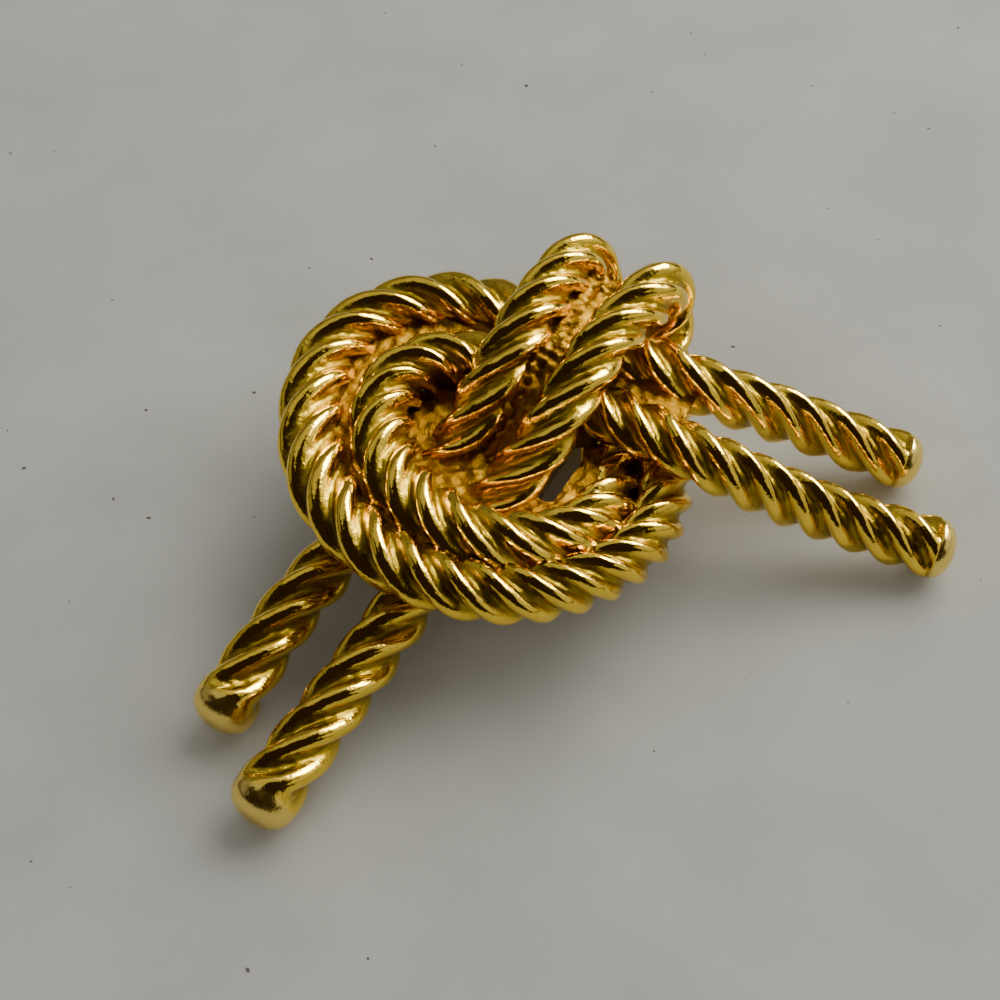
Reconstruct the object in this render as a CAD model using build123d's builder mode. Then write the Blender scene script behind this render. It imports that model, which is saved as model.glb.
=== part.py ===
"""Knot brooch: a doubled rope tied in an overhand knot and cast in one piece, with a plain pin back.

Lengths are in millimetres. X runs to the right along the brooch, Y away from its lower edge and Z up
out of its front. The brooch lies on its back, on its four rope ends and its pin back.
"""
import math
import os

import numpy as np
from build123d import *

# Rope
rope_diameter = 4.7  # over the crests of the strands
strand_count = 4
groove_depth = 0.62  # from a crest down to the valley between two strands
strand_start = 40.0  # turn of the first crest at the right ends, in degrees
section_spacing = 1.25
end_dome_height = 1.75

# Cast web between and inside the ropes
web_thickness = 1.5
centre_web_thickness = 2.0
window_length = 7.8
window_width = 1.8
window_angle = 62.0

# Pin back
bar_length = 25.0
bar_width = 4.2
bar_thickness = 0.9
bar_angle = 6.0
bar_gap = 0.1
stem_diameter = 0.9
stem_tip_length = 3.0
stem_overhang = 1.6
hinge_width = 3.2
catch_width = 2.4
catch_wall = 0.75
catch_play = 0.12
catch_mouth = 1.1
post_diameter = 2.4

# Stations of the doubled rope from its right ends, round the knot, to its left ends, in rope
# diameters: outer rope x, y, z, then inner rope x, y, z, each from the middle of the knot.
ROUTE = (
    (7.14, 1.57, 0.52, 7.48, -0.46, 0.55),
    (5.25, 1.85, 1.25, 5.55, -0.15, 1.15),
    (3.40, 1.85, 2.20, 3.50, 0.10, 2.20),
    (2.35, 2.35, 2.35, 2.15, 0.85, 2.35),
    (0.90, 3.20, 2.30, 0.85, 1.75, 2.26),
    (-1.06, 3.82, 2.25, -0.62, 2.38, 2.24),
    (-2.72, 2.84, 2.30, -1.64, 1.90, 2.36),
    (-3.20, 0.76, 2.30, -2.00, 0.64, 2.44),
    (-2.72, -1.05, 2.33, -1.72, -0.58, 2.52),
    (-1.40, -2.35, 2.28, -0.84, -1.60, 2.54),
    (0.30, -2.70, 2.13, 0.32, -1.88, 2.40),
    (1.80, -1.98, 1.88, 1.32, -1.36, 2.10),
    (2.68, -0.60, 1.50, 1.82, -0.32, 1.62),
    (2.90, 1.05, 1.30, 1.90, 0.85, 1.30),
    (2.95, 2.60, 1.35, 1.85, 3.25, 1.40),
    (2.95, 3.30, 1.70, 1.75, 4.00, 1.70),
    (2.95, 3.60, 2.40, 1.70, 4.30, 2.40),
    (2.85, 3.30, 3.10, 1.45, 4.00, 3.10),
    (2.45, 2.65, 3.35, 1.05, 3.30, 3.35),
    (1.55, 1.30, 3.35, 0.35, 2.00, 3.34),
    (0.75, 0.20, 2.65, -0.30, 1.10, 2.60),
    (-0.20, -0.55, 1.65, -0.90, 0.55, 1.68),
    (-1.18, -1.70, 1.30, -1.90, -0.24, 1.22),
    (-2.20, -3.32, 1.12, -3.04, -1.60, 1.16),
    (-3.78, -5.62, 0.52, -4.52, -3.84, 0.56),
)

# Spacing of the strand crests along the rope, in rope diameters: share of the rope's length,
# outer rope, inner rope.
LAY = (
    (0.00, 0.80, 0.66),
    (0.15, 0.80, 0.70),
    (0.36, 0.92, 0.73),
    (0.44, 0.66, 0.72),
    (0.50, 0.60, 0.72),
    (0.56, 0.70, 0.73),
    (0.65, 0.82, 0.74),
    (0.75, 0.79, 0.76),
    (0.80, 0.79, 0.80),
    (1.00, 0.93, 0.96),
)

# Girth of the rope in rope diameters, fuller round the left of the loop and at the ends: share of
# the rope's length, outer rope, inner rope.
GIRTH = (
    (0.00, 1.06, 1.12),
    (0.03, 1.06, 1.05),
    (0.12, 1.06, 1.03),
    (0.16, 1.03, 1.01),
    (0.21, 1.07, 1.04),
    (0.27, 1.16, 1.12),
    (0.33, 1.22, 1.19),
    (0.37, 1.19, 1.18),
    (0.44, 1.06, 1.12),
    (0.50, 1.02, 1.06),
    (0.56, 1.00, 1.00),
    (0.62, 1.00, 1.02),
    (0.66, 1.05, 1.05),
    (0.72, 1.05, 1.04),
    (0.77, 1.00, 1.00),
    (0.92, 1.05, 1.03),
    (0.97, 1.10, 1.06),
    (1.00, 1.18, 1.14),
)

# Rope end: way past the last full section in dome heights, radius in rope radii, share of the groove.
END_DOME = (
    (-0.15, 1.00, 0.80),
    (0.10, 0.98, 0.40),
    (0.40, 0.90, 0.12),
    (0.70, 0.72, 0.05),
    (0.90, 0.45, 0.03),
    (1.00, 0.15, 0.01),
)

# Stretches of web between the two ropes, as station numbers, and how far each sits below the ropes'
# axes in rope diameters: first station, last station, drop.
WEBS = (
    (2.2, 13.3, 0.14),
    (17.2, 20.6, 0.22),
)

# Middle and half-widths of the web inside the loop, the middle of its window and the middle of the pin
# bar, in rope diameters
CENTRE_WEB_MIDDLE = (-0.15, 0.35, 2.00)
CENTRE_WEB_REACH = (1.85, 2.00)
WINDOW_MIDDLE = (1.10, 0.14)
BAR_MIDDLE = (0.30, 2.60)

rope_radius = rope_diameter / 2
strand_angle = 2 * math.pi / strand_count
curve_steps = 60  # points of a rope's axis for each station
web_step = 0.05  # way between two points that give a web's direction, in stations
straight_limit = 1e-12  # change of direction, squared, below which the axis counts as straight


def smooth_curve(points, places):
    """Natural cubic curve through the points; a place of 2.5 is half-way from the third to the fourth."""
    count = len(points)
    knots = np.concatenate(([0.0], np.cumsum(np.linalg.norm(np.diff(points, axis=0), axis=1))))
    gaps = np.diff(knots)
    slopes = np.diff(points, axis=0) / gaps[:, None]
    matrix = np.eye(count)
    pull = np.zeros_like(points)
    for row in range(1, count - 1):
        matrix[row, row - 1 : row + 2] = (gaps[row - 1], 2 * (gaps[row - 1] + gaps[row]), gaps[row])
        pull[row] = 6 * (slopes[row] - slopes[row - 1])
    bend = np.linalg.solve(matrix, pull)
    span = np.clip(places.astype(int), 0, count - 2)
    gap = gaps[span][:, None]
    after = (places - span)[:, None] * gap
    before = gap - after
    return (
        (bend[span] * before**3 + bend[span + 1] * after**3) / (6 * gap)
        + (points[span] / gap - bend[span] * gap / 6) * before
        + (points[span + 1] / gap - bend[span + 1] * gap / 6) * after
    )


class Rope:
    """One rope: its axis, the frames carried along it without turning, and the turn of its strands."""

    def __init__(self, first_column, size_column):
        self.stations = np.array(ROUTE)[:, first_column : first_column + 3] * rope_diameter
        count = len(self.stations)
        self.axis = smooth_curve(self.stations, np.linspace(0, count - 1, curve_steps * count))
        steps = np.linalg.norm(np.diff(self.axis, axis=0), axis=1)
        self.lengths = np.concatenate(([0.0], np.cumsum(steps)))
        self.length = self.lengths[-1]
        lay = np.array(LAY)
        spacing = np.interp(self.lengths, lay[:, 0] * self.length, lay[:, size_column] * rope_diameter)
        middle_spacing = (spacing[1:] + spacing[:-1]) / 2
        turns = np.cumsum(steps / middle_spacing * strand_angle)
        self.turns = math.radians(strand_start) + np.concatenate(([0.0], turns))
        girth = np.array(GIRTH)
        self.radii = np.interp(self.lengths, girth[:, 0] * self.length, girth[:, size_column] * rope_radius)

    def move(self, step):
        """Shift the whole rope."""
        self.stations = self.stations + step
        self.axis = self.axis + step

    def limits(self):
        """Lowest and highest x, y and z that the crests reach."""
        sections = self.sections()
        points = np.array([self.point(distance) for distance, _, _ in sections])
        directions = np.array([self.direction(distance) for distance, _, _ in sections])
        radii = np.array([radius for _, radius, _ in sections])
        reach = radii[:, None] * np.sqrt(1 - directions**2)
        return (points - reach).min(axis=0), (points + reach).max(axis=0)

    def underside_over(self, centre, angle, length, width):
        """Lowest height of the rope over a bar, given by its middle, angle and size."""
        offset = self.axis[:, :2] - centre
        along = np.abs(offset @ (math.cos(angle), math.sin(angle)))
        across = np.abs(offset @ (-math.sin(angle), math.cos(angle)))
        over = (along < length / 2 + self.radii) & (across < width / 2 + self.radii)
        return (self.axis[:, 2] - self.radii)[over].min()

    def point(self, distance):
        """Point of the axis at a length from the right end, straight on past either end."""
        inside = min(max(distance, 0.0), self.length)
        point = np.array([np.interp(inside, self.lengths, self.axis[:, column]) for column in range(3)])
        return point + (distance - inside) * self.direction(inside)

    def direction(self, distance):
        """Unit direction of travel at a length from the right end."""
        reach = section_spacing / 4
        start = min(max(distance - reach, 0.0), self.length - 2 * reach)
        ends = [
            [np.interp(place, self.lengths, self.axis[:, column]) for column in range(3)]
            for place in (start, start + 2 * reach)
        ]
        step = np.subtract(ends[1], ends[0])
        return step / np.linalg.norm(step)

    def turn(self, distance):
        """Angle of the first strand's crest, which also turns on past either end."""
        inside = min(max(distance, 0.0), self.length)
        return np.interp(inside, self.lengths, self.turns)

    def sections(self):
        """Length from the right end, radius and groove depth of every section, domes included."""
        dome = [(way * end_dome_height, share, groove * groove_depth) for way, share, groove in END_DOME]
        reach = section_spacing - dome[0][0]
        count = round((self.length - 2 * reach) / section_spacing)
        middle = [
            (distance, np.interp(distance, self.lengths, self.radii), groove_depth)
            for distance in np.linspace(reach, self.length - reach, count + 1)
        ]
        start = [(-way, share * self.radii[0], groove) for way, share, groove in reversed(dome)]
        end = [(self.length + way, share * self.radii[-1], groove) for way, share, groove in dome]
        return start + middle + end

    def planes(self):
        """Plane, turn of the strands, radius and groove depth of every section."""
        sections = self.sections()
        points = [self.point(distance) for distance, _, _ in sections]
        directions = [self.direction(distance) for distance, _, _ in sections]
        side = np.cross(directions[0], (0, 0, 1))
        side /= np.linalg.norm(side)
        planes = []
        for index, (distance, radius, groove) in enumerate(sections):
            if index > 0:
                side = carried(side, points[index - 1 : index + 1], directions[index - 1 : index + 1])
            plane = Plane(origin=tuple(points[index]), x_dir=tuple(side), z_dir=tuple(directions[index]))
            planes.append((plane, self.turn(distance), radius, groove))
        return planes


def carried(side, points, directions):
    """A side direction carried from one point of the axis to the next by two reflections."""
    step = points[1] - points[0]
    scale = 2 / (step @ step)
    side = side - scale * (step @ side) * step
    mirrored = directions[0] - scale * (step @ directions[0]) * step
    change = directions[1] - mirrored
    if change @ change > straight_limit:
        side = side - 2 / (change @ change) * (change @ side) * change
    return side / np.linalg.norm(side)


def strand_point(angle, radius):
    """Point of a section at an angle and a distance from the rope's axis."""
    return (radius * math.cos(angle), radius * math.sin(angle))


def rope_section(plane, turn, radius, groove):
    """One section of a rope: an arc over each strand, meeting in the grooves."""
    with BuildSketch(plane) as section:
        with BuildLine():
            for strand in range(strand_count):
                crest = turn + strand * strand_angle
                ThreePointArc(
                    strand_point(crest - strand_angle / 2, radius - groove),
                    strand_point(crest, radius),
                    strand_point(crest + strand_angle / 2, radius - groove),
                )
        make_face()
    return section.sketch


def web_section(place, drop):
    """Section of web from the axis of one rope to the axis of the other."""
    near = np.array([place - web_step, place, place + web_step])
    outer = smooth_curve(outer_rope.stations, near)
    inner = smooth_curve(inner_rope.stations, near)
    middle = (outer + inner) / 2
    travel = middle[2] - middle[0]
    travel /= np.linalg.norm(travel)
    across = outer[1] - inner[1]
    across -= (across @ travel) * travel
    across *= np.sign(np.cross(travel, across)[2])  # keeps the section's own Y pointing up
    width = np.linalg.norm(across)
    plane = Plane(origin=tuple(middle[1]), x_dir=tuple(across / width), z_dir=tuple(travel))
    with BuildSketch(plane) as section:
        with Locations((0, -drop * rope_diameter)):
            Rectangle(width, web_thickness)
    return section.sketch


outer_rope = Rope(0, 1)
inner_rope = Rope(3, 2)
ropes = (outer_rope, inner_rope)

# The origin is the middle of the foot of the ropes' box.
lowest = np.min([rope.limits()[0] for rope in ropes], axis=0)
highest = np.max([rope.limits()[1] for rope in ropes], axis=0)
foot = np.array(((lowest[0] + highest[0]) / 2, (lowest[1] + highest[1]) / 2, lowest[2]))
for rope in ropes:
    rope.move(-foot)

with BuildPart() as knot:
    for rope in ropes:
        loft([rope_section(*section) for section in rope.planes()], ruled=True)

    # Web between the two ropes, from axis to axis
    for first, last, drop in WEBS:
        places = np.linspace(first, last, round(last - first) + 1)
        loft([web_section(place, drop) for place in places], ruled=True)

    # Web inside the knot's loop, with one open window
    centre = np.array(CENTRE_WEB_MIDDLE) * rope_diameter - foot
    with BuildSketch(Plane.XY.offset(centre[2])):
        with Locations((centre[0], centre[1])):
            Ellipse(CENTRE_WEB_REACH[0] * rope_diameter, CENTRE_WEB_REACH[1] * rope_diameter)
        window = np.array(WINDOW_MIDDLE) * rope_diameter - foot[:2]
        with Locations(Location((window[0], window[1], 0), (0, 0, window_angle))):
            SlotOverall(window_length, window_width, mode=Mode.SUBTRACT)
    extrude(amount=-centre_web_thickness)

knot.part.label = "knot"

# Pin back: one bar under the knot, with a hinge end, a stem and a catch
stem_radius = stem_diameter / 2
stem_height = stem_radius + catch_play + catch_wall
bar_middle = np.array(BAR_MIDDLE) * rope_diameter - foot[:2]
bar_turn = math.radians(bar_angle)
bar_undersides = [rope.underside_over(bar_middle, bar_turn, bar_length, bar_width) for rope in ropes]
bar_top = min(bar_undersides) - bar_gap
bar_underside = bar_top - bar_thickness
bar_direction = np.array((math.cos(bar_turn), math.sin(bar_turn)))
bar_plane = Plane(origin=(*bar_middle, 0), x_dir=(*bar_direction, 0), z_dir=(0, 0, 1))
hinge_place = bar_length / 2 - stem_height
catch_place = -bar_length / 2 + catch_width / 2
post_middle = bar_middle + catch_place * bar_direction
post_undersides = [
    rope.underside_over(post_middle, bar_turn, post_diameter, post_diameter) for rope in ropes
]
post_top = min(post_undersides) - bar_gap
side_plane = Plane(
    origin=tuple(bar_plane.from_local_coords(Vector(hinge_place, 0, 0))),
    x_dir=tuple(bar_plane.x_dir),
    z_dir=tuple(-bar_plane.y_dir),
)
catch_plane = Plane(
    origin=tuple(bar_plane.from_local_coords(Vector(catch_place, 0, 0))),
    x_dir=tuple(bar_plane.y_dir),
    z_dir=tuple(bar_plane.x_dir),
)

with BuildPart() as pin_back:
    with BuildSketch(bar_plane.offset(bar_underside)):
        SlotOverall(bar_length, bar_width)
    extrude(amount=bar_thickness)

    # Post from the bar up to the rope above the catch
    with BuildSketch(bar_plane.offset(bar_top)):
        with Locations((catch_place, 0)):
            Circle(post_diameter / 2)
    extrude(amount=post_top - bar_top)

    # Hinge end, a rounded block that stands under the bar
    with BuildSketch(side_plane):
        with Locations((0, stem_height)):
            Circle(stem_height)
        with Locations((0, (stem_height + bar_underside) / 2)):
            Rectangle(2 * stem_height, bar_underside - stem_height)
    extrude(amount=hinge_width / 2, both=True)

    # Catch, a ring with an open mouth on a short post
    with BuildSketch(catch_plane):
        with Locations((0, (stem_height + bar_underside) / 2)):
            Rectangle(2 * catch_wall, bar_underside - stem_height)
        with Locations((0, stem_height)):
            Circle(stem_height)
            Circle(stem_radius + catch_play, mode=Mode.SUBTRACT)
        with Locations((stem_height / 2, stem_height)):
            Rectangle(stem_height, catch_mouth, mode=Mode.SUBTRACT)
    extrude(amount=catch_width / 2, both=True)

    # Stem, from the hinge through the catch, with a pointed end
    stem_end = catch_place - catch_width / 2 - stem_overhang
    with BuildSketch(side_plane):
        with BuildLine():
            Polyline(
                (0, stem_height),
                (0, stem_height + stem_radius),
                (stem_end + stem_tip_length - hinge_place, stem_height + stem_radius),
                (stem_end - hinge_place, stem_height),
                close=True,
            )
        make_face()
    stem_foot = side_plane.from_local_coords(Vector(0, stem_height, 0))
    revolve(axis=Axis(tuple(stem_foot), tuple(bar_plane.x_dir)))

pin_back.part.label = "pin_back"

os.makedirs("parts", exist_ok=True)
export_step(knot.part, "parts/knot.step")
export_step(pin_back.part, "parts/pin_back.step")
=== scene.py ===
"""Knot brooch: the looks of a cast rope knot with bright gold plate, lying on its back on pale paper.

Lengths are in metres. X runs to the right along the brooch, Y away from its lower edge and Z up out
of its front.
"""
import math

import bpy
import numpy as np
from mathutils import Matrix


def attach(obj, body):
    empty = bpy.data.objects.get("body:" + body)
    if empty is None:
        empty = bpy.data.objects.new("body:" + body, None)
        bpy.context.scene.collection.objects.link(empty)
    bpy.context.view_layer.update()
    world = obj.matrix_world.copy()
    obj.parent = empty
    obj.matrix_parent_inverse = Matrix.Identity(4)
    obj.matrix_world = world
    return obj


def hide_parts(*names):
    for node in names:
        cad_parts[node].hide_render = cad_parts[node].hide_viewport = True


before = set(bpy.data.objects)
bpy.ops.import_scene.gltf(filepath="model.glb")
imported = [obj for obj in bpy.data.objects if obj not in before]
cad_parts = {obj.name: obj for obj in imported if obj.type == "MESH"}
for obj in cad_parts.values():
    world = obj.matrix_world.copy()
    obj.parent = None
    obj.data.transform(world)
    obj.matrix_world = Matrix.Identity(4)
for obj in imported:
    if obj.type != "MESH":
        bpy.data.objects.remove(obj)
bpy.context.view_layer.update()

# Camera
# It looks along +Y and down at 50 degrees, from 190 mm away, at a point in the lower third of the
# brooch's height and a little left of the frame's origin.
VIEW_ELEVATION = math.radians(50)
VIEW_DISTANCE = 0.190
VIEW_MIDDLE = (-0.00667, 0.00298, 0.00623)
VIEW_LENS = 84.8

camera_data = bpy.data.cameras.new("camera")
camera_data.lens = VIEW_LENS
camera_data.sensor_width = 36
camera_data.clip_start = 0.01
camera = bpy.data.objects.new("camera", camera_data)
camera.location = (
    VIEW_MIDDLE[0],
    VIEW_MIDDLE[1] - VIEW_DISTANCE * math.cos(VIEW_ELEVATION),
    VIEW_MIDDLE[2] + VIEW_DISTANCE * math.sin(VIEW_ELEVATION),
)
camera.rotation_euler = (math.pi / 2 - VIEW_ELEVATION, 0, 0)
bpy.context.collection.objects.link(camera)
bpy.context.scene.camera = camera


# Floor
# A sheet of pale warm-grey paper, slightly mottled, with a fine tooth and a few dark flecks.
FLOOR_REACH = 3.0
PAPER_COLOUR = (0.49, 0.494, 0.455, 1)
PAPER_DARKER = (0.435, 0.439, 0.405, 1)
FLECK_COLOUR = (0.10, 0.095, 0.085, 1)
PAPER_ROUGHNESS = 0.85
PAPER_GLOSS = 0.25
MOTTLE_SCALE = 70  # waves per metre, as for every noise below
FLECK_SCALE = 900
FLECK_LIMITS = (0.215, 0.195)  # values of the noise at which a fleck begins and is full
TOOTH_SCALE = 2600
TOOTH_HEIGHT = 0.00004


def new_material(name):
    """An empty node material: its tree, the Principled shader in it and the object coordinates."""
    material = bpy.data.materials.new(name)
    material.use_nodes = True
    shader = material.node_tree.nodes["Principled BSDF"]
    place = material.node_tree.nodes.new("ShaderNodeTexCoord").outputs["Object"]
    return material, shader, place


def noise(tree, place, scale, detail=2.0, roughness=0.5):
    """A grey noise over the surface, with scale in waves per metre."""
    node = tree.nodes.new("ShaderNodeTexNoise")
    node.inputs["Scale"].default_value = scale
    node.inputs["Detail"].default_value = detail
    node.inputs["Roughness"].default_value = roughness
    tree.links.new(place, node.inputs["Vector"])
    return node.outputs["Fac"]


def stretch(tree, value, low, high, to_low=0.0, to_high=1.0):
    """The value carried from the range low to high onto another range, and held within it."""
    node = tree.nodes.new("ShaderNodeMapRange")
    node.inputs["From Min"].default_value = low
    node.inputs["From Max"].default_value = high
    node.inputs["To Min"].default_value = to_low
    node.inputs["To Max"].default_value = to_high
    tree.links.new(value, node.inputs["Value"])
    return node.outputs["Result"]


def blend_colour(tree, share, first, second):
    """The first colour where the share is 0 and the second where it is 1."""
    node = tree.nodes.new("ShaderNodeMix")
    node.data_type = "RGBA"
    tree.links.new(share, node.inputs["Factor"])
    for socket, colour in (("A", first), ("B", second)):
        target = [one for one in node.inputs if one.name == socket and one.type == "RGBA"][0]
        if isinstance(colour, tuple):
            target.default_value = colour
        else:
            tree.links.new(colour, target)
    return [one for one in node.outputs if one.type == "RGBA"][0]


paper, paper_shader, paper_place = new_material("pale_paper")
paper_tree = paper.node_tree
mottle = stretch(paper_tree, noise(paper_tree, paper_place, MOTTLE_SCALE, 3), 0.35, 0.65)
sheet_colour = blend_colour(paper_tree, mottle, PAPER_DARKER, PAPER_COLOUR)
flecks = stretch(paper_tree, noise(paper_tree, paper_place, FLECK_SCALE, 1), *FLECK_LIMITS)
sheet_colour = blend_colour(paper_tree, flecks, sheet_colour, FLECK_COLOUR)
paper_tree.links.new(sheet_colour, paper_shader.inputs["Base Color"])
paper_shader.inputs["Roughness"].default_value = PAPER_ROUGHNESS
paper_shader.inputs["Specular IOR Level"].default_value = PAPER_GLOSS
tooth = paper_tree.nodes.new("ShaderNodeBump")
tooth.inputs["Strength"].default_value = 1.0
tooth.inputs["Distance"].default_value = TOOTH_HEIGHT
paper_tree.links.new(noise(paper_tree, paper_place, TOOTH_SCALE, 3), tooth.inputs["Height"])
paper_tree.links.new(tooth.outputs["Normal"], paper_shader.inputs["Normal"])

floor_mesh = bpy.data.meshes.new("floor")
corners = [(x * FLOOR_REACH, y * FLOOR_REACH, 0) for x, y in ((-1, -1), (1, -1), (1, 1), (-1, 1))]
floor_mesh.from_pydata(corners, [], [(0, 1, 2, 3)])
floor_mesh.materials.append(paper)
floor = bpy.data.objects.new("floor", floor_mesh)
bpy.context.collection.objects.link(floor)


# Studio light
# A bright panel behind and to the right with a soft glow round it, weak panels on the other sides and
# dim surroundings, so that the polished metal shows light and dark in turn. Wide soft lights above the
# floor keep its shadows pale.
ROOM_COLOUR = (0.020, 0.012, 0.007, 1)
# name, place, width, height, watts, colour, lights the metal, lights the floor
PANELS = (
    ("key_panel", (0.31, 0.30, 0.38), 0.31, 0.28, 7.2, (1.0, 0.97, 0.76), True, False),
    ("key_glow", (0.60, 0.52, 0.68), 1.20, 1.00, 2.2, (1.0, 0.98, 0.94), True, True),
    ("ceiling_panel", (-0.25, 0.35, 0.90), 1.00, 0.80, 1.1, (1.0, 1.0, 0.97), True, True),
    ("back_panel", (0.00, 1.00, 0.45), 1.80, 0.80, 0.7, (1.0, 1.0, 0.97), True, True),
    ("right_panel", (1.00, 0.00, 0.40), 1.40, 0.70, 1.6, (1.0, 0.99, 0.95), True, True),
    ("left_panel", (-1.00, 0.30, 0.45), 1.20, 0.60, 0.5, (0.98, 0.99, 1.0), True, True),
    ("near_light", (0.22, 0.20, 0.28), 0.45, 0.45, 1.5, (1.0, 0.99, 0.95), False, True),
    ("wide_light", (0.00, 0.20, 1.00), 2.00, 2.00, 1.6, (1.0, 0.99, 0.96), False, True),
    ("front_light", (-0.10, -0.60, 0.50), 1.20, 0.60, 2.4, (1.0, 0.97, 0.92), False, True),
)

world = bpy.data.worlds.new("dim_room")
world.use_nodes = True
world.node_tree.nodes["Background"].inputs["Color"].default_value = ROOM_COLOUR
bpy.context.scene.world = world
for name, place, width, height, watts, colour, lights_metal, lights_floor in PANELS:
    light_data = bpy.data.lights.new(name, "AREA")
    light_data.shape = "RECTANGLE"
    light_data.size = width
    light_data.size_y = height
    light_data.energy = watts
    light_data.color = colour
    light = bpy.data.objects.new(name, light_data)
    light.location = place
    light.visible_glossy = lights_metal
    light.visible_diffuse = lights_floor
    tilt = math.atan2(math.hypot(place[0], place[1]), place[2])
    light.rotation_euler = (tilt, 0, math.atan2(place[1], place[0]) + math.pi / 2)
    bpy.context.collection.objects.link(light)


# Ropes
# Two ropes of four strands, laid right-handed, run side by side through one overhand knot. They are
# cast with the webs as one piece, ground at the ends into smooth domes, then polished and plated.
ROPE_DIAMETER = 0.0047
STRANDS = 4
STRAND_START = math.radians(40)
GROOVE_DEPTH = 0.00078
STRAND_BEND = 0.62  # share of the way from crest to groove where the round crest becomes the trough
STRAND_WAVE = 0.006  # unevenness of the strands, as a share of the radius
TROUGH_START = 0.42  # share of the way from crest to groove where the cast roughness begins
TROUGH_SPAN = 0.34  # share of that way over which it grows to its full height
TROUGH_LUMP_HEIGHT = 0.00007
TROUGH_LUMP_SIZE = 0.0011
DOME_HEIGHT = 0.00175
ROW_SPACING = 0.00024
END_ROW_SPACING = 0.13  # in dome heights
STRAND_POINTS = 26
AXIS_POINTS = 60  # for each station
LUMP_WAVES = 12
ROPE_RADIUS = ROPE_DIAMETER / 2
STRAND_ANGLE = 2 * math.pi / STRANDS

# Stations of the doubled rope from its right ends, round the knot, to its left ends, in rope
# diameters: outer rope x, y, z, then inner rope x, y, z, each from the middle of the knot.
ROUTE = (
    (7.14, 1.57, 0.52, 7.48, -0.46, 0.55),
    (5.25, 1.85, 1.25, 5.55, -0.15, 1.15),
    (3.40, 1.85, 2.20, 3.50, 0.10, 2.20),
    (2.35, 2.35, 2.35, 2.15, 0.85, 2.35),
    (0.90, 3.20, 2.30, 0.85, 1.75, 2.26),
    (-1.06, 3.82, 2.25, -0.62, 2.38, 2.24),
    (-2.72, 2.84, 2.30, -1.64, 1.90, 2.36),
    (-3.20, 0.76, 2.30, -2.00, 0.64, 2.44),
    (-2.72, -1.05, 2.33, -1.72, -0.58, 2.52),
    (-1.40, -2.35, 2.28, -0.84, -1.60, 2.54),
    (0.30, -2.70, 2.13, 0.32, -1.88, 2.40),
    (1.80, -1.98, 1.88, 1.32, -1.36, 2.10),
    (2.68, -0.60, 1.50, 1.82, -0.32, 1.62),
    (2.90, 1.05, 1.30, 1.90, 0.85, 1.30),
    (2.95, 2.60, 1.35, 1.85, 3.25, 1.40),
    (2.95, 3.30, 1.70, 1.75, 4.00, 1.70),
    (2.95, 3.60, 2.40, 1.70, 4.30, 2.40),
    (2.85, 3.30, 3.10, 1.45, 4.00, 3.10),
    (2.45, 2.65, 3.35, 1.05, 3.30, 3.35),
    (1.55, 1.30, 3.35, 0.35, 2.00, 3.34),
    (0.75, 0.20, 2.65, -0.30, 1.10, 2.60),
    (-0.20, -0.55, 1.65, -0.90, 0.55, 1.68),
    (-1.18, -1.70, 1.30, -1.90, -0.24, 1.22),
    (-2.20, -3.32, 1.12, -3.04, -1.60, 1.16),
    (-3.78, -5.62, 0.52, -4.52, -3.84, 0.56),
)

# Middle of the surface that the brooch lies on, from the middle of the knot, in rope diameters
FOOT_MIDDLE = (1.4190, -0.6337, -0.0495)

# Spacing of the strand crests along the rope, in rope diameters: share of the rope's length,
# outer rope, inner rope.
LAY = (
    (0.00, 0.80, 0.66),
    (0.15, 0.80, 0.70),
    (0.36, 0.92, 0.73),
    (0.44, 0.66, 0.72),
    (0.50, 0.60, 0.72),
    (0.56, 0.70, 0.73),
    (0.65, 0.82, 0.74),
    (0.75, 0.79, 0.76),
    (0.80, 0.79, 0.80),
    (1.00, 0.93, 0.96),
)

# Girth of the rope in rope diameters, fuller round the left of the loop and at the ends: share of
# the rope's length, outer rope, inner rope.
GIRTH = (
    (0.00, 1.06, 1.12),
    (0.03, 1.06, 1.05),
    (0.12, 1.06, 1.03),
    (0.16, 1.03, 1.01),
    (0.21, 1.07, 1.04),
    (0.27, 1.16, 1.12),
    (0.33, 1.22, 1.19),
    (0.37, 1.19, 1.18),
    (0.44, 1.06, 1.12),
    (0.50, 1.02, 1.06),
    (0.56, 1.00, 1.00),
    (0.62, 1.00, 1.02),
    (0.66, 1.05, 1.05),
    (0.72, 1.05, 1.04),
    (0.77, 1.00, 1.00),
    (0.92, 1.05, 1.03),
    (0.97, 1.10, 1.06),
    (1.00, 1.18, 1.14),
)

# Rope ends, from the last full strands to the top of the dome: way past the rope's end in dome
# heights, radius over the crests in rope radii, share of the groove. The right ends have a crisp rim.
RIGHT_END = (
    (-1.10, 1.000, 1.00),
    (-0.45, 1.000, 0.97),
    (-0.20, 0.998, 0.85),
    (-0.10, 0.990, 0.62),
    (-0.05, 0.972, 0.36),
    (-0.02, 0.948, 0.12),
    (0.00, 0.940, 0.03),
    (0.03, 0.950, 0.00),
    (0.08, 0.958, 0.00),
    (0.20, 0.945, 0.00),
    (0.38, 0.900, 0.00),
    (0.56, 0.815, 0.00),
    (0.74, 0.670, 0.00),
    (0.88, 0.480, 0.00),
    (0.96, 0.280, 0.00),
    (1.00, 0.000, 0.00),
)
LEFT_END = (
    (-1.90, 1.000, 1.00),
    (-1.20, 1.000, 0.92),
    (-0.85, 0.995, 0.66),
    (-0.60, 0.985, 0.34),
    (-0.40, 0.975, 0.13),
    (-0.20, 0.970, 0.04),
    (0.00, 0.955, 0.01),
    (0.20, 0.925, 0.00),
    (0.38, 0.870, 0.00),
    (0.56, 0.780, 0.00),
    (0.74, 0.635, 0.00),
    (0.88, 0.450, 0.00),
    (0.96, 0.260, 0.00),
    (1.00, 0.000, 0.00),
)


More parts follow.
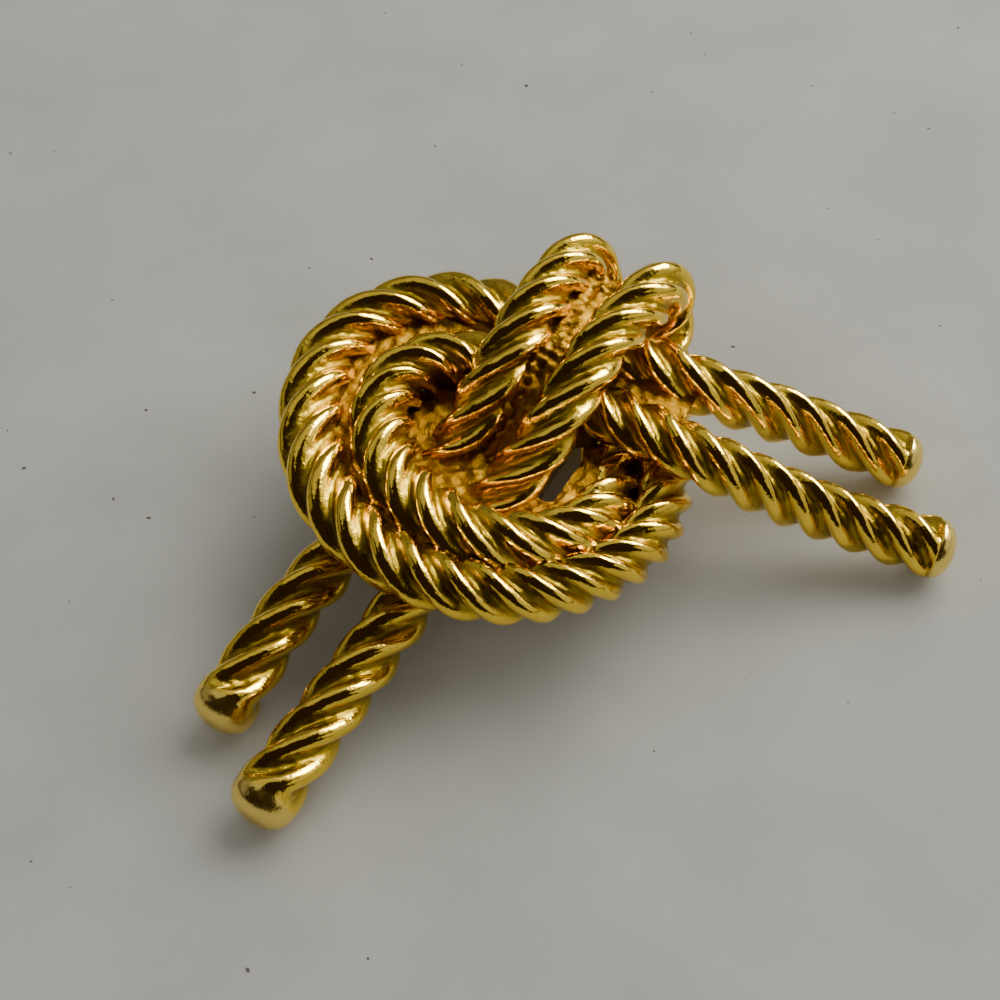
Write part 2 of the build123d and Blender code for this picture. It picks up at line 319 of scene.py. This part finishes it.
def smooth_curve(points, places):
    """Natural cubic curve through the points, at places counted in points.

    Place 2.5 is half-way from the third to the fourth. Between two points the curve is the cubic
    whose bends, its second derivatives, keep its slope the same on both sides of every point.
    """
    count = len(points)
    knots = np.concatenate(([0.0], np.cumsum(np.linalg.norm(np.diff(points, axis=0), axis=1))))
    gaps = np.diff(knots)
    slopes = np.diff(points, axis=0) / gaps[:, None]
    matrix = np.eye(count)
    pull = np.zeros_like(points)
    for row in range(1, count - 1):
        matrix[row, row - 1 : row + 2] = (gaps[row - 1], 2 * (gaps[row - 1] + gaps[row]), gaps[row])
        pull[row] = 6 * (slopes[row] - slopes[row - 1])
    bend = np.linalg.solve(matrix, pull)
    span = np.clip(places.astype(int), 0, count - 2)
    gap = gaps[span][:, None]
    after = (places - span)[:, None] * gap
    before = gap - after
    return (
        (bend[span] * before**3 + bend[span + 1] * after**3) / (6 * gap)
        + (points[span] / gap - bend[span] * gap / 6) * before
        + (points[span + 1] / gap - bend[span + 1] * gap / 6) * after
    )


def unit(vectors):
    """The vectors at length one."""
    return vectors / np.linalg.norm(vectors, axis=-1, keepdims=True)


def columns(values, places, lengths):
    """Each column of the values, read at the places along the lengths."""
    return np.stack([np.interp(places, lengths, column) for column in values.T], axis=1)


def end_rows(table):
    """The rows of a rope end's table, with more of them along its strands."""
    profile = np.array(table)
    between = np.arange(profile[0, 0], -0.1, END_ROW_SPACING)
    ways = np.unique(np.round(np.concatenate((profile[:, 0], between)), 3))
    return columns(profile, ways, profile[:, 0])


def grid_mesh(name, points, ring=False):
    """A closed mesh over a grid of points, rows by columns.

    Each row closes on itself. In a ring the last row joins the first. Otherwise the first and last
    rows, of which each is one place, close as fans of triangles to a single point.
    """
    rows, across = points.shape[:2]
    if ring:
        places = points.reshape(-1, 3)
        index = np.arange(rows * across).reshape(rows, across)
        index = np.concatenate((index, index[:1]))
        fans = []
    else:
        places = np.concatenate((points[1:-1].reshape(-1, 3), points[0, :1], points[-1, :1]))
        first, last = len(places) - 2, len(places) - 1
        index = np.arange(len(places) - 2).reshape(rows - 2, across)
        fans = np.concatenate(
            (
                np.stack([np.roll(index[0], -1), index[0], np.full(across, first)], axis=-1),
                np.stack([index[-1], np.roll(index[-1], -1), np.full(across, last)], axis=-1),
            )
        ).tolist()
    after = np.roll(index, -1, axis=1)
    quads = np.stack([index[:-1], after[:-1], after[1:], index[1:]], axis=-1).reshape(-1, 4)
    mesh = bpy.data.meshes.new(name)
    mesh.from_pydata(places.tolist(), [], quads.tolist() + fans)
    mesh.shade_smooth()
    return mesh


class RopeLine:
    """A rope's axis, with side directions that are carried along it without turning.

    It takes the rope's first column in the route's table, and its column in the tables of the
    strands' spacing and the girth.
    """

    def __init__(self, first_column, size_column):
        self.stations = np.array(ROUTE)[:, first_column : first_column + 3] * ROPE_DIAMETER
        count = len(self.stations)
        self.axis = smooth_curve(self.stations, np.linspace(0, count - 1, AXIS_POINTS * count))
        moves = np.diff(self.axis, axis=0)
        steps = np.linalg.norm(moves, axis=1)
        self.lengths = np.concatenate(([0.0], np.cumsum(steps)))
        self.length = self.lengths[-1]
        spacing = self.sizes(LAY, size_column, ROPE_DIAMETER)
        turn_steps = steps * 2 / (spacing[1:] + spacing[:-1]) * STRAND_ANGLE
        self.turns = STRAND_START + np.concatenate(([0.0], np.cumsum(turn_steps)))
        self.radii = self.sizes(GIRTH, size_column, ROPE_RADIUS)
        self.directions = unit(np.gradient(self.axis, self.lengths, axis=0))
        side = unit(np.cross(self.directions[0], (0, 0, 1)))
        sides = [side]
        for here, there, move in zip(self.directions[:-1], self.directions[1:], moves):
            side = self.carried(side, here, there, move)
            sides.append(side)
        self.sides = np.array(sides)

    def sizes(self, table, column, scale):
        """A column of a table by share of the rope's length, times a scale, along the axis."""
        table = np.array(table)
        return np.interp(self.lengths, table[:, 0] * self.length, table[:, column] * scale)

    @staticmethod
    def carried(side, here, there, move):
        """A side direction carried over one move along the axis, by two reflections."""
        scale = 2 / (move @ move)
        side = side - scale * (move @ side) * move
        change = there - (here - scale * (move @ here) * move)
        if change @ change > 1e-12:
            side = side - 2 / (change @ change) * (change @ side) * change
        return side / np.linalg.norm(side)

    def frame(self, distances):
        """Points, directions, sides and strand turns at lengths from the right end.

        Past an end the rope runs straight on.
        """
        inside = np.clip(distances, 0, self.length)
        directions = unit(columns(self.directions, inside, self.lengths))
        points = columns(self.axis, inside, self.lengths) + (distances - inside)[:, None] * directions
        sides = columns(self.sides, inside, self.lengths)
        sides = unit(sides - np.sum(sides * directions, axis=1)[:, None] * directions)
        return points, directions, sides, np.interp(inside, self.lengths, self.turns)

    def rows(self):
        """Length from the right end, radius over the crests and share of the groove of each row."""
        right, left = end_rows(RIGHT_END)[::-1], end_rows(LEFT_END)
        start = -right[:, 0] * DOME_HEIGHT
        finish = self.length + left[:, 0] * DOME_HEIGHT
        count = round((finish[0] - start[-1]) / ROW_SPACING) + 1
        middle = np.linspace(start[-1], finish[0], count)[1:-1]
        distances = np.concatenate((start, middle, finish))
        shares = np.concatenate((right[:, 1:], np.ones((len(middle), 2)), left[:, 1:]))
        return distances, np.interp(distances, self.lengths, self.radii) * shares[:, 0], shares[:, 1]


def strand_depth(share):
    """How far a strand's surface has sunk towards the groove, from 0 on its crest to 1 in the groove.

    The share of the way t from crest to groove is squared and divided by b up to the bend at t = b,
    and 1 - (1 - t)^2 / (1 - b) beyond it, so a round crest runs smoothly into a hollow trough.
    """
    crest = share**2 / STRAND_BEND
    trough = 1 - (1 - share) ** 2 / (1 - STRAND_BEND)
    return np.where(share < STRAND_BEND, crest, trough)


def lumps(points, size, seed):
    """A rough height from about -1 to 1, of rounded nuggets with creases between them.

    It is the sum of 1 - 2 |sin(k . p + phase)| for waves of several lengths, over the root of their
    number. Each wave's direction and phase are random but seeded, and its length falls from the size
    given towards a third of it.
    """
    random = np.random.default_rng(seed)
    total = np.zeros(points.shape[:-1])
    for wave in range(LUMP_WAVES):
        direction = unit(random.normal(size=3))
        length = size / (1 + 2 * wave / LUMP_WAVES)
        phase = random.uniform(0, math.pi)
        total += 1 - 2 * np.abs(np.sin(points @ direction * math.pi / length + phase))
    return total / math.sqrt(LUMP_WAVES)


def rope_surface(rope):
    """Grid of points over a rope, and for each its depth in the trough, place on the strand and cap.

    Rows run along the axis and are turned with the strands, so a groove is one column of the grid.
    The radius is the one over the crests, less the groove times the strand's depth, less a sum of
    slow waves along the rope that differ from strand to strand, plus lumps in the troughs. The depth
    in the trough is (way past the trough's start / its span)^1.5, and the cap is 1 on the dome.
    """
    distances, radii, share = rope.rows()
    points, directions, sides, turns = rope.frame(distances)
    ups = np.cross(directions, sides)
    step = np.tile(np.linspace(-1, 1, STRAND_POINTS + 1)[:-1], STRANDS)
    angle = STRAND_ANGLE / 2 * step
    strand = np.repeat(np.arange(STRANDS), STRAND_POINTS)
    sunk = strand_depth(np.abs(step))
    groove = share * radii / ROPE_RADIUS * GROOVE_DEPTH
    distance_out = radii[:, None] - groove[:, None] * sunk[None, :]
    way = distances[:, None] / ROPE_DIAMETER
    wave = np.sin(1.7 * way + 1.9 * strand) + np.sin(4.3 * way + 2.6 * strand + 1) / 2
    distance_out *= 1 - STRAND_WAVE * (1.5 + wave) * share[:, None]
    full_turn = turns[:, None] + angle[None, :] + strand[None, :] * STRAND_ANGLE
    cosine, sine = np.cos(full_turn)[:, :, None], np.sin(full_turn)[:, :, None]
    outward = cosine * sides[:, None, :] + sine * ups[:, None, :]
    grid = points[:, None, :] + distance_out[:, :, None] * outward
    depth = share[:, None] * np.clip((np.abs(step) - TROUGH_START) / TROUGH_SPAN, 0, 1)[None, :] ** 1.5
    rough = lumps(grid, TROUGH_LUMP_SIZE, seed=5) * TROUGH_LUMP_HEIGHT * depth
    grid += rough[:, :, None] * outward
    place = np.broadcast_arrays(distances[:, None], angle * ROPE_RADIUS, strand * ROPE_DIAMETER)
    place = np.stack(place, axis=-1)
    cap = np.broadcast_to(np.clip(1 - share[:, None] / 0.1, 0, 1), depth.shape)
    return grid, depth, place, cap


outer_rope = RopeLine(0, 1)
inner_rope = RopeLine(3, 2)
foot = np.array(FOOT_MIDDLE) * ROPE_DIAMETER
for rope in (outer_rope, inner_rope):
    rope.stations = rope.stations - foot
    rope.axis = rope.axis - foot

# Gold plate on the polished crests, painted shade in the troughs and a painted reflection on the
# caps of the rope ends
PLATE_COLOUR = (1.00, 0.68, 0.070, 1)
# A darker colour that paints shade into the troughs and grooves
PLATE_SHADE_COLOUR = (0.42, 0.28, 0.014, 1)
# A paler colour that paints a reflection of bright surroundings on the caps
PLATE_CAP_REFLECTION_COLOUR = (1.00, 0.73, 0.18, 1)
CAP_ROUGHNESS = 0.13  # added to the crests' roughness
PATCH_SCALE = 900
SCUFF_SCALE = 2200
WAVE_SCALE = 750
STREAK_SCALE = 2600
STREAK_STRETCH = (0.12, 1, 1)  # along the strand, across it and from strand to strand
GRAIN_SCALE = 5200


def cast_plate_group():
    """Gold plate over a casting: colour, roughness and normal from how far a place lies in a groove.

    Crests are polished, with slow waves and faint streaks along the strand left by the polishing.
    Grooves and webs keep the fine grain of the mould, are rougher, and take the darker colour given,
    which is painted shade.
    The caps of the rope ends are a little duller than the crests, and paler as a painted reflection
    of bright surroundings.
    """
    tree = bpy.data.node_groups.new("cast_plate", "ShaderNodeTree")
    for name, kind, value in (
        ("Place", "NodeSocketVector", None),
        ("Strand Place", "NodeSocketVector", None),
        ("Depth", "NodeSocketFloat", 0.0),
        ("Cap", "NodeSocketFloat", 0.0),
        ("Shade Color", "NodeSocketColor", PLATE_SHADE_COLOUR),
        ("Crest Roughness", "NodeSocketFloat", 0.10),
        ("Groove Roughness", "NodeSocketFloat", 0.30),
        ("Grain Height", "NodeSocketFloat", 0.00003),
        ("Wave Height", "NodeSocketFloat", 0.00004),
        ("Streak Height", "NodeSocketFloat", 0.0),
    ):
        socket = tree.interface.new_socket(name=name, in_out="INPUT", socket_type=kind)
        if value is not None:
            socket.default_value = value
    for name, kind in (("Color", "Color"), ("Roughness", "Float"), ("Normal", "Vector")):
        tree.interface.new_socket(name=name, in_out="OUTPUT", socket_type="NodeSocket" + kind)
    given = tree.nodes.new("NodeGroupInput")
    result = tree.nodes.new("NodeGroupOutput")

    def calculate(operation, first, second):
        node = tree.nodes.new("ShaderNodeMath")
        node.operation = operation
        for socket, value in zip(node.inputs, (first, second)):
            if isinstance(value, (int, float)):
                socket.default_value = value
            else:
                tree.links.new(value, socket)
        return node.outputs[0]

    place = given.outputs["Place"]
    patches = stretch(tree, noise(tree, place, PATCH_SCALE, 3), 0.35, 0.68, -0.12, 0.16)
    depth = calculate("ADD", given.outputs["Depth"], patches)
    depth = stretch(tree, depth, 0.0, 1.0)
    # Painted shade: the further a place lies into a groove, the more its colour turns to the shade colour
    colour = blend_colour(tree, depth, PLATE_COLOUR, given.outputs["Shade Color"])
    # Painted reflection: the caps take the paler cap colour
    colour = blend_colour(tree, given.outputs["Cap"], colour, PLATE_CAP_REFLECTION_COLOUR)
    tree.links.new(colour, result.inputs["Color"])

    rough = tree.nodes.new("ShaderNodeMix")
    rough.data_type = "FLOAT"
    tree.links.new(depth, rough.inputs["Factor"])
    tree.links.new(given.outputs["Crest Roughness"], rough.inputs["A"])
    tree.links.new(given.outputs["Groove Roughness"], rough.inputs["B"])
    scuffs = stretch(tree, noise(tree, place, SCUFF_SCALE, 4, 0.6), 0.45, 0.75, 0.0, 0.07)
    dulled = calculate("MULTIPLY", given.outputs["Cap"], CAP_ROUGHNESS)
    roughness = calculate("ADD", calculate("ADD", rough.outputs["Result"], scuffs), dulled)
    tree.links.new(roughness, result.inputs["Roughness"])

    along = tree.nodes.new("ShaderNodeVectorMath")
    along.operation = "MULTIPLY"
    along.inputs[1].default_value = STREAK_STRETCH
    tree.links.new(given.outputs["Strand Place"], along.inputs[0])
    waves = noise(tree, place, WAVE_SCALE, 4, 0.55)
    streaks = noise(tree, along.outputs["Vector"], STREAK_SCALE, 2)
    streak_strength = calculate("ADD", calculate("MULTIPLY", depth, 0.7), 0.3)
    grain = noise(tree, place, GRAIN_SCALE, 3, 0.6)
    normal = None
    for height, size, strength in (
        (waves, given.outputs["Wave Height"], None),
        (streaks, given.outputs["Streak Height"], streak_strength),
        (grain, given.outputs["Grain Height"], depth),
    ):
        node = tree.nodes.new("ShaderNodeBump")
        tree.links.new(size, node.inputs["Distance"])
        tree.links.new(height, node.inputs["Height"])
        if strength is not None:
            tree.links.new(strength, node.inputs["Strength"])
        else:
            node.inputs["Strength"].default_value = 1.0
        if normal is not None:
            tree.links.new(normal, node.inputs["Normal"])
        normal = node.outputs["Normal"]
    tree.links.new(normal, result.inputs["Normal"])
    return tree


cast_plate = cast_plate_group()


def plate_material(name, crest, groove, grain, wave, depth=0.0, shade_colour=PLATE_SHADE_COLOUR, streak=None):
    """A gold-plated metal: roughness of crest and groove, then heights of grain, wave and streak.

    With streaks, it reads the depth, cap and place on the strand from the rope's mesh. Otherwise its
    depth is the same all over. The depth blends the colour towards the painted shade colour given.
    """
    material, shader, place = new_material(name)
    tree = material.node_tree
    group = tree.nodes.new("ShaderNodeGroup")
    group.node_tree = cast_plate
    tree.links.new(place, group.inputs["Place"])
    group.inputs["Depth"].default_value = depth
    group.inputs["Shade Color"].default_value = shade_colour
    group.inputs["Crest Roughness"].default_value = crest
    group.inputs["Groove Roughness"].default_value = groove
    group.inputs["Grain Height"].default_value = grain
    group.inputs["Wave Height"].default_value = wave
    if streak is not None:
        group.inputs["Streak Height"].default_value = streak
        for attribute_name, output, socket in (
            ("groove", "Fac", "Depth"),
            ("cap", "Fac", "Cap"),
            ("strand_place", "Vector", "Strand Place"),
        ):
            attribute = tree.nodes.new("ShaderNodeAttribute")
            attribute.attribute_name = attribute_name
            tree.links.new(attribute.outputs[output], group.inputs[socket])
    for output, socket in (("Color", "Base Color"), ("Roughness", "Roughness"), ("Normal", "Normal")):
        tree.links.new(group.outputs[output], shader.inputs[socket])
    shader.inputs["Metallic"].default_value = 1.0
    return material


def add_piece(name, mesh, material):
    """Put a finished mesh in the scene as a piece of the brooch."""
    mesh.materials.append(material)
    piece = bpy.data.objects.new(name, mesh)
    bpy.context.collection.objects.link(piece)
    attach(piece, "root")
    return piece


def set_values(mesh, name, kind, field, values):
    """Keep values at a grid's points as an attribute of its mesh, whose ends close with triangles."""
    rows = values.reshape(values.shape[0], values.shape[1], -1)
    kept = np.concatenate((rows[1:-1].reshape(-1, rows.shape[2]), rows[0, :1], rows[-1, :1]))
    attribute = mesh.attributes.new(name, kind, "POINT")
    attribute.data.foreach_set(field, kept.astype(np.float32).ravel())


rope_plate = plate_material(
    "rope_plate", crest=0.08, groove=0.32, grain=0.00004, wave=0.00009, streak=0.00004
)
for name, rope in (("outer_rope", outer_rope), ("inner_rope", inner_rope)):
    grid, depth, place, cap = rope_surface(rope)
    mesh = grid_mesh(name, grid)
    set_values(mesh, "groove", "FLOAT", "value", depth)
    set_values(mesh, "cap", "FLOAT", "value", cap)
    set_values(mesh, "strand_place", "FLOAT_VECTOR", "vector", place)
    add_piece(name, mesh, rope_plate)
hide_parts("knot")


# Webs between the ropes
# Cast metal that fills the trough between the two ropes round the loop, and between the two that
# cross over it. It sinks between the ropes, climbs their sides, and keeps the mould's rough grain.
# Its dark colour is painted shade between the ropes.
# Dark colour that paints the shade between the ropes
WEB_SHADE_COLOUR = (0.26, 0.125, 0.003, 1)
WEB_THICKNESS = 0.0015
WEB_FILLET = 0.0006
WEB_POINTS = 40
WEB_ROWS = 26  # for each station
# name, first station, last station, drop below the ropes' axes in rope diameters, height and size of
# the lumps
WEBS = (
    ("loop_web", 2.2, 13.3, 0.14, 0.00012, 0.0020),
    ("crossing_web", 17.2, 20.6, 0.22, 0.00024, 0.0019),
)


def web_surface(first, last, drop, lump_height, lump_size, seed):
    """Grid round a web, rows along it and columns round its section.

    The section runs over the top from one rope's axis to the other's and back underneath. At a
    share v from -1 to 1 across, the top is half the thickness up, plus v^4 times a fillet, plus
    lumps; the underside is the same below, without the fillet.
    """
    places = np.linspace(first, last, round((last - first) * WEB_ROWS))
    near = 0.02  # of a station, over which the direction of travel is measured
    outer, inner = (smooth_curve(rope.stations, places) for rope in (outer_rope, inner_rope))
    ahead = sum(smooth_curve(rope.stations, places + near) for rope in (outer_rope, inner_rope))
    behind = sum(smooth_curve(rope.stations, places - near) for rope in (outer_rope, inner_rope))
    travel = unit(ahead - behind)
    middle = (outer + inner) / 2
    across = outer - inner
    across -= np.sum(across * travel, axis=1)[:, None] * travel
    half = np.linalg.norm(across, axis=1) / 2
    across = unit(across)
    across *= np.sign(np.cross(travel, across)[:, 2:])
    up = np.cross(travel, across)
    share = np.linspace(-1, 1, WEB_POINTS)
    over = np.concatenate((share, share[::-1]))
    side = np.concatenate((np.ones(WEB_POINTS), -np.ones(WEB_POINTS)))
    fillet = np.where(side > 0, WEB_FILLET * over**4, 0)
    height = side * WEB_THICKNESS / 2 + fillet - drop * ROPE_DIAMETER
    flat = middle[:, None, :] + (half[:, None] * over[None, :])[:, :, None] * across[:, None, :]
    grid = flat + height[None, :, None] * up[:, None, :]
    rough = lumps(grid, lump_size, seed) * lump_height * side[None, :]
    grid += rough[:, :, None] * up[:, None, :]
    return grid[:, ::-1]


# Material of every web, coloured with painted shade
web_plate_painted_shade = plate_material(
    "web_plate_painted_shade", crest=0.26, groove=0.38, grain=0.00010, wave=0.00007, depth=1.0, shade_colour=WEB_SHADE_COLOUR
)
for index, (name, first, last, drop, lump_height, lump_size) in enumerate(WEBS):
    grid = web_surface(first, last, drop, lump_height, lump_size, seed=11 + index)
    centres = grid[[0, -1]].mean(axis=1)[:, None, :].repeat(grid.shape[1], axis=1)
    mesh = grid_mesh(name, np.concatenate((centres[:1], grid, centres[1:])))
    add_piece(name, mesh, web_plate_painted_shade)


# Web inside the loop
# The knot's middle is closed by the same rough web with the same painted shade, pierced by one
# narrow window through which the paper shows.
CENTRE_WEB_THICKNESS = 0.0020
CENTRE_WEB_MIDDLE = (-0.15, 0.35, 2.00)  # in rope diameters, as the reach and the window's middle
CENTRE_WEB_REACH = (1.85, 2.00)
WINDOW_MIDDLE = (1.10, 0.14)
WINDOW_LENGTH = 0.0078
WINDOW_WIDTH = 0.0018
WINDOW_ANGLE = math.radians(62)
CENTRE_LUMP_HEIGHT = 0.00012
CENTRE_LUMP_SIZE = 0.0026
CENTRE_WEB_ROWS = 70
CENTRE_WEB_POINTS = 240


def centre_web_surface(seed):
    """Grid over the web inside the loop: from its rim over the top to the window and back below.

    At an angle a round the window, a row's point lies at a share from the window's outline, a slot
    with round ends, to the rim, an ellipse. The underside is one thickness below the top, and both
    have lumps.
    """
    turn = np.linspace(0, 2 * math.pi, CENTRE_WEB_POINTS, endpoint=False)
    straight = (WINDOW_LENGTH - WINDOW_WIDTH) / 2
    slot_x = WINDOW_WIDTH / 2 * np.cos(turn) + straight * np.clip(4 * np.cos(turn), -1, 1)
    slot_y = WINDOW_WIDTH / 2 * np.sin(turn)
    cosine, sine = math.cos(WINDOW_ANGLE), math.sin(WINDOW_ANGLE)
    window = np.stack(
        (
            slot_x * cosine - slot_y * sine + WINDOW_MIDDLE[0] * ROPE_DIAMETER,
            slot_x * sine + slot_y * cosine + WINDOW_MIDDLE[1] * ROPE_DIAMETER,
        ),
        axis=1,
    )
    rim = np.stack(
        (
            (CENTRE_WEB_MIDDLE[0] + CENTRE_WEB_REACH[0] * np.cos(turn + WINDOW_ANGLE)) * ROPE_DIAMETER,
            (CENTRE_WEB_MIDDLE[1] + CENTRE_WEB_REACH[1] * np.sin(turn + WINDOW_ANGLE)) * ROPE_DIAMETER,
        ),
        axis=1,
    )
    share = np.concatenate((np.linspace(1, 0, CENTRE_WEB_ROWS), np.linspace(0, 1, CENTRE_WEB_ROWS)))
    side = np.concatenate((np.zeros(CENTRE_WEB_ROWS), -np.ones(CENTRE_WEB_ROWS)))
    flat = window[None, :, :] + share[:, None, None] * (rim - window)[None, :, :]
    level = np.broadcast_to(side[:, None] * CENTRE_WEB_THICKNESS, flat.shape[:2])
    grid = np.concatenate((flat, level[:, :, None] + CENTRE_WEB_MIDDLE[2] * ROPE_DIAMETER), axis=2) - foot
    rough = lumps(grid, CENTRE_LUMP_SIZE, seed) * CENTRE_LUMP_HEIGHT
    grid[:, :, 2] += np.where(side[:, None] > -0.5, rough, -rough)
    return grid


centre_grid = centre_web_surface(seed=23)
centre_mesh = grid_mesh("centre_web", centre_grid, ring=True)
add_piece("centre_web", centre_mesh, web_plate_painted_shade)


# Pin back
# One plain finding soldered under the knot: a bar, a hinge, a pointed stem and a ring catch. It is
# plated with the brooch but not polished by hand.
# Its colour blends a little towards the painted shade colour all over
pin_plate = plate_material("pin_plate", crest=0.16, groove=0.30, grain=0.00002, wave=0.00002, depth=0.15)
pin_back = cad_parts["pin_back"]
pin_back.material_slots[0].material = pin_plate
